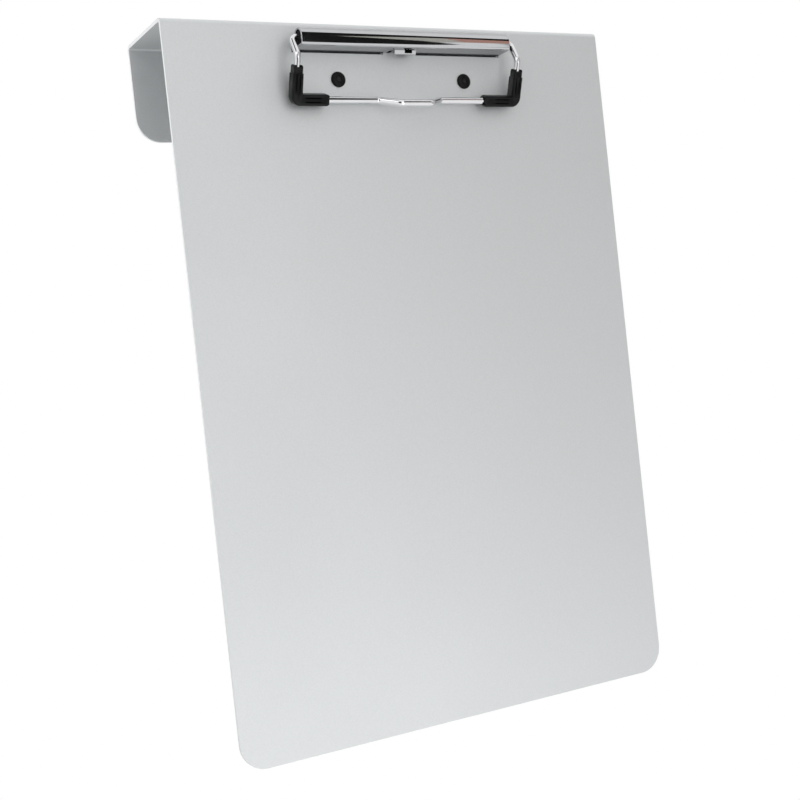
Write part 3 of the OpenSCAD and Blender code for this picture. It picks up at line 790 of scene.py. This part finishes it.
for node, material in (("pivot_bush", nylon), ("rivet_mandrel", pin_steel)):
    for side in ("left_", "right_"):
        nodes[side + node].data.materials.clear()
        nodes[side + node].data.materials.append(material)
print("fitted", len(fittings), "new pieces and 4 CAD nodes")

# %% [markdown]
# ## Stage
# The board hangs in a plain white room over a pale floor. The room's light of strength 1 shows a colour
# as it is written. The floor is far below, so the shadow on it stays faint: only the floor's middle keeps
# it, and its rim fades into white.

# %% White room and pale floor
FLOOR_Z, FLOOR_W = -1.0, 6  # metres
world = bpy.data.worlds.new("white_room")
bpy.context.scene.world = world
world.use_nodes = True
world.node_tree.nodes["Background"].inputs["Color"].default_value = colour("#ffffff")
take()
bpy.ops.mesh.primitive_plane_add(size=FLOOR_W, location=(0, 0, FLOOR_Z))
floor = bpy.context.object
floor.name = "floor"
bpy.ops.object.transform_apply(location=True, rotation=True, scale=True)
pale, tree, shader = plain_finish("pale_floor", Base_Color=colour("#f4f4f4"), Roughness=0.8)
floor.data.materials.append(pale)
print("floor", -FLOOR_Z, "m below the seat")

# %% Floor that fades into the room
place = add(tree, "ShaderNodeTexCoord").outputs["Object"]
spot = add(tree, "ShaderNodeMapping", {"Vector": place, "Location": (0, 0, -FLOOR_Z)})
middle = add(tree, "ShaderNodeTexGradient", {"Vector": spot.outputs[0]}, gradient_type="SPHERICAL")
share = add(tree, "ShaderNodeMapRange", {"Value": middle.outputs["Fac"], "To Min": 1.0, "To Max": 0.4})
rays = add(tree, "ShaderNodeLightPath").outputs
seen = rays["Is Camera Ray"]
for kind in ("Is Glossy Ray", "Is Transmission Ray"):
    seen = add(tree, "ShaderNodeMath", {0: seen, 1: rays[kind]}, operation="MAXIMUM").outputs[0]
fade = add(tree, "ShaderNodeMath", {0: seen, 1: share.outputs["Result"]}, operation="MULTIPLY")
white = add(tree, "ShaderNodeEmission", {"Color": colour("#ffffff"), "Strength": 1.0})
both = add(tree, "ShaderNodeMixShader", {0: fade.outputs[0], 1: shader.outputs[0], 2: white.outputs[0]})
tree.links.new(both.outputs[0], tree.nodes["Material Output"].inputs["Surface"])
print(pale.name, len(tree.nodes), "nodes")

# %% [markdown]
# Chrome shows what stands around it. A photographer sets cards for that: here a dark bar and a dark wedge
# stand right of the front, with a grey and a warm card in the gap that opens between them. Two dark grey
# cards stand on the left, where they give the wire's round legs a dark core, and a grey wall stands on
# the right. All are hidden from the camera and throw no shadow, but the satin sheet and the chrome both
# mirror them.

# %% Outlines of the cards
FLAG_Y, WALL_X = -0.78, 1.7  # metres, as are the corners
bar = [(0.29, 0.31), (0.386, 0.69), (0.5, 1.09), (0.632, 0.962), (0.75, 0.66),
       (0.62, 0.29), (0.51, 0.357), (0.45, 0.334), (0.359, 0.293)]
wedge = [(0.29, 0.31), (0.359, 0.293), (0.404, 0.234), (0.447, 0.178), (0.465, 0.116), (0.486, 0.05),
         (0.46, 0.0), (0.43, -0.03), (0.385, -0.13), (0.36, -0.24), (0.27, -0.24)]
grey_gap = [(0.359, 0.293), (0.45, 0.334), (0.51, 0.357), (0.5, 0.157), (0.465, 0.116), (0.447, 0.178),
            (0.404, 0.234)]
warm_gap = [(0.51, 0.357), (0.62, 0.29), (0.6, 0.165), (0.5, 0.157)]
left = [(-0.72, -0.65, -0.6), (-0.20, -0.95, -0.6), (-0.20, -0.95, 0.35), (-0.72, -0.65, 0.35)]
upper_left = [(-0.21, -0.19, 1.0), (-0.55, 0, 0.9), (-0.75, -0.49, 0.62), (-0.41, -0.68, 0.72)]
wall = [(-2.5, -1.0), (0.7, -1.0), (0.7, 1.1), (-2.5, 1.1)]
flags = [("dark_bar", "#080808", bar), ("dark_wedge", "#080808", wedge),
         ("grey_gap_card", "#c4c2ba", grey_gap), ("warm_gap_card", "#c89a8c", warm_gap)]
cards = [(name, tone, [(x, FLAG_Y, z) for x, z in outline]) for name, tone, outline in flags]
cards += [("left_card", "#3a3a3a", left), ("upper_left_card", "#3a3a3a", upper_left),
          ("right_wall", "#b8b8b8", [(WALL_X, y, z) for y, z in wall])]
print("outlines", len(cards))

# %% Cards around the part
def card(name, tone, corners):
    """A flat matt card between corners in metres, which mirrors show and the camera does not."""
    sheet = bpy.data.meshes.new(name)
    sheet.from_pydata(corners, [], [range(len(corners))])
    made = bpy.data.objects.new(name, sheet)
    bpy.context.collection.objects.link(made)
    paint, _, _ = plain_finish(name + "_paint", Base_Color=colour(tone), Roughness=1.0)
    sheet.materials.append(paint)
    made.visible_camera = made.visible_shadow = made.visible_diffuse = False


for name, tone, corners in cards:
    card(name, tone, corners)
print("cards", len(cards))

# %% [markdown]
# Three weak soft lamps stand in front: one a little to the right, one a little to the left and one low
# down. With the white room they give the sheet its slow change of tone from top to bottom, and the clip's
# shadows lie close beside it and stay soft. A lamp far to the left draws white glints on the wire, and
# one behind on the left lights the rear lip and the sheet's edge.

# %% Lamps
LAMP_W = 0.5  # metres, as are the lamps' places
LAMP_AIM = Vector((0, -0.03, -0.1))


def lamp(name, place, power):
    """A soft square lamp of a power in watts, aimed at the clip."""
    take()
    aim = (LAMP_AIM - Vector(place)).to_track_quat("-Z", "Y").to_euler()
    bpy.ops.object.light_add(type="AREA", location=place, rotation=aim)
    made = bpy.context.object
    made.name = name
    made.data.size = LAMP_W
    made.data.energy = power
    made.visible_camera = False


lamp("front_lamp", (0.29, -1.20, -0.10), 0.55)
lamp("front_left_lamp", (-0.21, -1.21, -0.05), 0.9)
lamp("table_lamp", (0.15, -0.75, -0.85), 1.45)
lamp("left_lamp", (-0.91, -0.83, 0.48), 1.4)
lamp("back_left_lamp", (-0.62, 0.95, 0.05), 1.0)

# %% [markdown]
# The camera stands a little left of the front and low, where the sheet's straight edges put it: its place
# and turn were fitted to the edges of the folded sheet, so outlines fall where they should without any
# shift.

# %% Camera
FOCAL, PICTURE_W = 1309.2, 800  # pixels
SENSOR_W = 36  # mm
bpy.ops.object.camera_add(location=mm(-304.66, -552.35, -161.37))
camera = bpy.context.object
camera.name = "camera"
right = Vector((0.87422756, -0.47344623, -0.10758644))
upward = Vector((0.10250638, -0.03661091, 0.99405839))
camera.rotation_euler = Matrix((right, upward, right.cross(upward))).transposed().to_euler()
camera.data.sensor_width = SENSOR_W
camera.data.lens = FOCAL * SENSOR_W / PICTURE_W
bpy.context.scene.camera = camera
bpy.context.scene.view_settings.view_transform = "Standard"
print("lens", round(camera.data.lens, 2), "mm")
